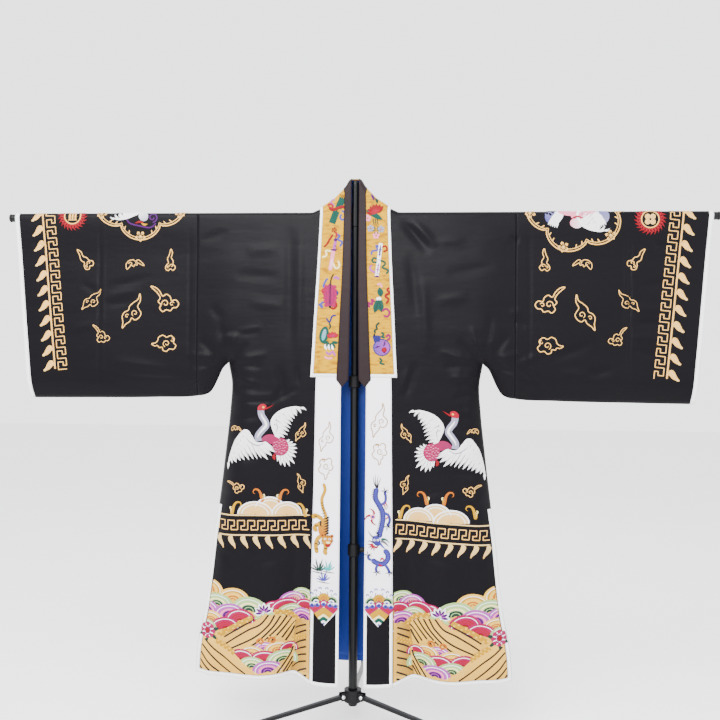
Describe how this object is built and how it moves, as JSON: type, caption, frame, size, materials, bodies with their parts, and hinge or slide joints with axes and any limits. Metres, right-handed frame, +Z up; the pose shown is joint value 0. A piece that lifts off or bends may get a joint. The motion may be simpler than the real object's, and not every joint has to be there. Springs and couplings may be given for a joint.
{
  "type": "taoist robe on a tee stand",
  "caption": "Open-fronted ceremonial robe with wide square sleeves, a long collar and side slits, hung flat by its sleeves on the crossbar of a tripod display stand.",
  "frame": {"origin": "on the floor, under the middle of the whole object's box; the post stands 122 mm in front of it", "axes": "+Z up, +X along the crossbar to the right of somebody facing the robe, -Y the way the robe's open front faces"},
  "size_m": [1.9526, 0.7552, 1.501],
  "materials": {
    "black_satin": "black satin with a soft sheen",
    "blue_lining": "royal blue lining cloth",
    "yellow_collar": "yellow satin, embroidered",
    "white_satin": "white satin, embroidered",
    "white_tape": "white woven binding",
    "brown_satin": "dark brown satin",
    "stand_black": "black painted steel tube",
    "clamp_plastic": "black moulded plastic",
    "rivet_steel": "plain steel rivet",
    "foot_rubber": "black rubber cap"
  },
  "bodies": {
    "root": {"front_left": "black_satin", "front_right": "black_satin", "back_left": "black_satin", "back_right": "black_satin", "sleeve_left_front": "black_satin", "sleeve_left_back": "black_satin", "sleeve_right_front": "black_satin", "sleeve_right_back": "black_satin", "front_band_left": "black_satin", "front_band_right": "black_satin", "back_lining": "blue_lining", "collar_left": "yellow_collar", "collar_right": "yellow_collar", "collar_back": "yellow_collar", "lapel_left": "white_satin", "lapel_right": "white_satin", "guard_left": "brown_satin", "guard_right": "brown_satin", "guard_back": "brown_satin", "band_piping_left": "white_tape", "band_piping_right": "white_tape", "collar_piping_left": "white_tape", "collar_piping_right": "white_tape", "collar_piping_back": "white_tape", "binding_front_left": "white_tape", "binding_front_right": "white_tape", "binding_back_left": "white_tape", "binding_back_right": "white_tape", "cuff_left_front": "white_tape", "cuff_left_back": "white_tape", "cuff_right_front": "white_tape", "cuff_right_back": "white_tape", "post_lower": "stand_black", "post_middle": "stand_black", "post_upper": "stand_black", "post_stub": "stand_black", "post_head": "stand_black", "crossbar_left": "stand_black", "crossbar_right": "stand_black", "clamp_lower": "clamp_plastic", "clamp_upper": "clamp_plastic", "knob_lower": "clamp_plastic", "knob_upper": "clamp_plastic", "hub": "clamp_plastic", "leg_right": "stand_black", "leg_left": "stand_black", "leg_back": "stand_black", "rivet_right": "rivet_steel", "rivet_left": "rivet_steel", "rivet_back": "rivet_steel", "foot_right": "foot_rubber", "foot_left": "foot_rubber", "foot_back": "foot_rubber", "bar_cap_left": "foot_rubber", "bar_cap_right": "foot_rubber"}
  },
  "joints": []
}
